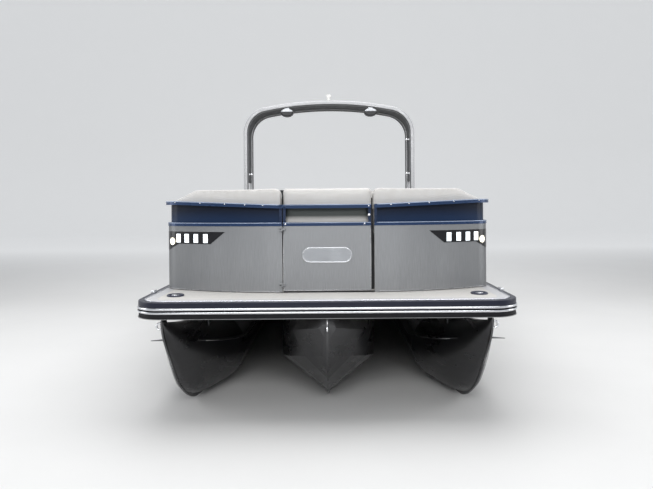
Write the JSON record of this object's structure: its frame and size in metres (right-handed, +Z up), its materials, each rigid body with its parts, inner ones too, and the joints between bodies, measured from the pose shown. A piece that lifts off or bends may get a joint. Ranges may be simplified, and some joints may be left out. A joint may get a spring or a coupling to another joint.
{
  "type": "pontoon boat",
  "caption": "Pontoon boat with three metal tubes, a flat railed deck, gates, lounges, a low helm, an arch and an outboard motor stored tilted up.",
  "frame": {"origin": "middle of the boat's bounding box, on the floor under the keels", "axes": "+X to port, -Y towards the bow, +Y towards the stern, +Z up"},
  "size_m": [2.59, 8.8058, 2.9533],
  "materials": {
    "tube_aluminium": "brushed",
    "frame_aluminium": "mill finish",
    "deck_covering": "woven vinyl floor covering",
    "trim_pale": "satin",
    "band_navy": "satin",
    "bead_chrome": "polished",
    "skirt_black": "satin",
    "lip_grey": "satin",
    "panel_silver": "metallic satin",
    "rail_blue": "metallic satin",
    "infill_navy": "satin",
    "plate_chrome": "brushed",
    "vinyl_pale": "soft vinyl",
    "light_black": "gloss",
    "lens_white": "frosted",
    "base_plastic": "moulded",
    "console_pale": "gel coat",
    "screen_smoke": "tinted",
    "wheel_black": "soft grip",
    "pedestal_alloy": "satin",
    "arch_pale": "satin",
    "arch_skin": "satin",
    "pod_shell": "gloss",
    "lamp_white": "gloss",
    "bracket_black": "satin",
    "cowl_black": "gloss",
    "engine_iron": "cast",
    "leg_black": "gloss",
    "propeller_steel": "polished",
    "ladder_steel": "brushed",
    "fittings_chrome": "polished"
  },
  "bodies": {
    "hull": {"anchor_light": "lamp_white", "arch_frame": "arch_pale", "arch_panel": "arch_skin", "arch_pods": "pod_shell", "bow_backs": "vinyl_pale", "bow_cleats": "fittings_chrome", "bow_lounge_bases": "base_plastic", "chair_pedestals": "pedestal_alloy", "corner_fittings": "fittings_chrome", "cross_members": "frame_aluminium", "deck": "deck_covering", "deck_trim": "trim_pale", "dock_light_housings": "light_black", "dock_light_lenses": "lens_white", "fence_infill_port_aft": "infill_navy", "fence_infill_port_bow": "infill_navy", "fence_infill_starboard": "infill_navy", "fence_panels_port_aft": "panel_silver", "fence_panels_port_bow": "panel_silver", "fence_panels_starboard": "panel_silver", "fence_rails_port_aft": "rail_blue", "fence_rails_port_bow": "rail_blue", "fence_rails_starboard": "rail_blue", "helm_console": "console_pale", "helm_screen": "screen_smoke", "ladder_bracket": "ladder_steel", "motor_clamp": "bracket_black", "motor_mount": "tube_aluminium", "pontoon_centre": "tube_aluminium", "pontoon_port": "tube_aluminium", "pontoon_starboard": "tube_aluminium", "rub_rail_band": "band_navy", "rub_rail_bead": "bead_chrome", "rub_rail_lip": "lip_grey", "rub_rail_skirt": "skirt_black", "stern_back": "vinyl_pale", "stern_lounge_base": "base_plastic", "tow_eyes": "fittings_chrome"},
    "bow_gate": {"bow_gate_panel": "panel_silver", "bow_gate_rails": "rail_blue", "bow_gate_pad": "vinyl_pale", "bow_gate_plate": "plate_chrome"},
    "side_gate": {"side_gate_panel": "panel_silver", "side_gate_rails": "rail_blue"},
    "stern_gate": {"stern_gate_panel": "panel_silver", "stern_gate_rails": "rail_blue"},
    "port_seat": {"bow_seat_port": "vinyl_pale"},
    "starboard_seat": {"bow_seat_starboard": "vinyl_pale"},
    "stern_bench": {"stern_seat": "vinyl_pale"},
    "captain_seat": {"captain_chair": "vinyl_pale"},
    "companion_seat": {"companion_chair": "vinyl_pale"},
    "steering_wheel": {"helm_wheel": "wheel_black"},
    "tilt_bracket": {"motor_swivel": "bracket_black"},
    "motor": {"motor_cowl": "cowl_black", "engine_block": "engine_iron", "motor_leg": "leg_black"},
    "screw": {"propeller": "propeller_steel"},
    "ladder": {"boarding_ladder": "ladder_steel"}
  },
  "joints": [
    {"name": "bow_gate_hinge", "type": "hinge", "parent": "hull", "child": "bow_gate", "pos_m": [-0.322, -4.02785, 1.14], "axis": [0, 0, -1], "range_deg": [0, 95]},
    {"name": "side_gate_hinge", "type": "hinge", "parent": "hull", "child": "side_gate", "pos_m": [1.267, -0.96725, 1.14], "axis": [0, 0, 1], "range_deg": [0, 95]},
    {"name": "stern_gate_hinge", "type": "hinge", "parent": "hull", "child": "stern_gate", "pos_m": [-0.514, 2.47715, 1.14], "axis": [0, 0, -1], "range_deg": [0, 95]},
    {"name": "port_seat_hinge", "type": "hinge", "parent": "hull", "child": "port_seat", "pos_m": [0.422, -2.90285, 1.13], "axis": [0, -1, 0], "range_deg": [0, 85]},
    {"name": "starboard_seat_hinge", "type": "hinge", "parent": "hull", "child": "starboard_seat", "pos_m": [-0.422, -2.90285, 1.13], "axis": [0, 1, 0], "range_deg": [0, 85]},
    {"name": "stern_seat_hinge", "type": "hinge", "parent": "hull", "child": "stern_bench", "pos_m": [0.3, 1.56915, 1.13], "axis": [1, 0, 0], "range_deg": [0, 85]},
    {"name": "captain_seat_swivel", "type": "hinge", "parent": "hull", "child": "captain_seat", "pos_m": [-0.7, 0.67727, 1.212], "axis": [0, 0, 1], "continuous": true},
    {"name": "companion_seat_swivel", "type": "hinge", "parent": "hull", "child": "companion_seat", "pos_m": [0.64, 0.29727, 1.212], "axis": [0, 0, 1], "continuous": true},
    {"name": "helm_wheel_turn", "type": "hinge", "parent": "hull", "child": "steering_wheel", "pos_m": [-0.72, 0.08727, 1.508], "axis": [0, -0.8829, -0.4695], "range_deg": [-544, 544]},
    {"name": "motor_tilt", "type": "hinge", "parent": "hull", "child": "tilt_bracket", "pos_m": [0, 3.25715, 0.742], "axis": [1, 0, 0], "range_deg": [-59, 7]},
    {"name": "motor_steer", "type": "hinge", "parent": "tilt_bracket", "child": "motor", "pos_m": [0, 3.47375, 0.70265], "axis": [0, -0.8192, 0.5736], "range_deg": [-30, 30]},
    {"name": "propeller_spin", "type": "hinge", "parent": "motor", "child": "screw", "pos_m": [0, 4.26931, 0.72302], "axis": [0, 0.5736, 0.8192], "continuous": true},
    {"name": "ladder_fold", "type": "hinge", "parent": "hull", "child": "ladder", "pos_m": [0.76, 3.21915, 0.874], "axis": [-1, 0, 0], "range_deg": [0, 258]}
  ],
  "couplings": [
    {"joint": "helm_wheel_turn", "follows": "motor_steer", "ratio": 18}
  ]
}
